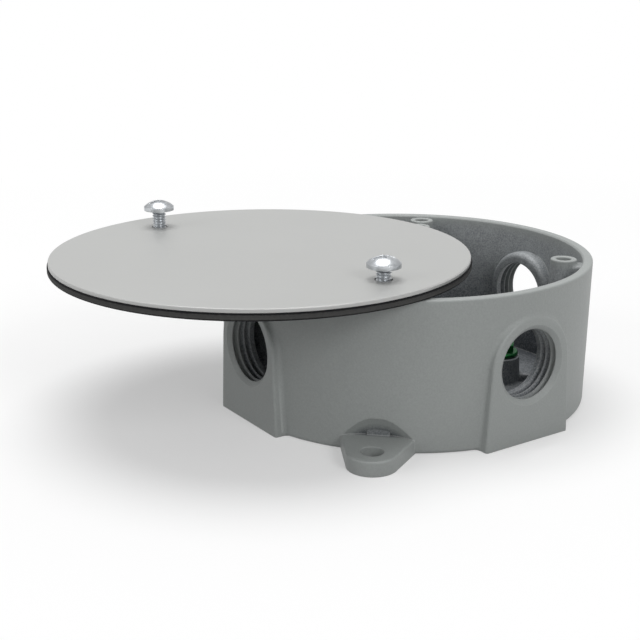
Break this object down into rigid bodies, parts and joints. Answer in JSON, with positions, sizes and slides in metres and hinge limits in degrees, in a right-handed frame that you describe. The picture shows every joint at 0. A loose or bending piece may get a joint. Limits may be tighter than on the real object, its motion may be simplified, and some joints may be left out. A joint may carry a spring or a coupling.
{
  "type": "round weatherproof junction box",
  "caption": "Round die-cast weatherproof junction box with threaded outlets in its wall and back, mounting lugs, a ground screw and a blank gasketed cover swung aside.",
  "frame": {"origin": "midway between the two lug holes, on the back outlet's axis, in the plane of the back face", "axes": "+Z out of the box's mouth towards the cover; Y through the two mounting lugs, with the cover's pivot screw at -Y; +X through the ground screw"},
  "size_m": [0.1472, 0.1445, 0.0515],
  "materials": {
    "powder_coated_casting": "satin grey powder coat on a die casting",
    "cover_aluminium": "satin grey sheet",
    "gasket_foam": "black closed-cell foam",
    "zinc_screw": "bright zinc plate",
    "green_screw": "green dyed zinc plate"
  },
  "bodies": {
    "box": {"box_body": "powder_coated_casting"},
    "cover": {"cover_plate": "cover_aluminium", "cover_gasket": "gasket_foam"},
    "pivot_screw": {"pivot_cover_screw": "zinc_screw"},
    "free_screw": {"free_cover_screw": "zinc_screw"},
    "ground_terminal_screw": {"ground_screw": "green_screw"}
  },
  "joints": [
    {"name": "cover_swing", "type": "hinge", "parent": "box", "child": "cover", "pos_m": [0, -0.04445, 0.0415], "axis": [0, 0, 1], "range_deg": [-57, 123]},
    {"name": "pivot_screw_travel", "type": "slide", "parent": "box", "child": "pivot_screw", "axis": [0, 0, 1], "range_m": [-0.00315, 0.0047]},
    {"name": "free_screw_travel", "type": "slide", "parent": "cover", "child": "free_screw", "axis": [0, 0, 1], "range_m": [-0.00505, 0.0028]},
    {"name": "ground_screw_travel", "type": "slide", "parent": "box", "child": "ground_terminal_screw", "axis": [0, 0, 1], "range_m": [-0.0004, 0.0075]}
  ]
}
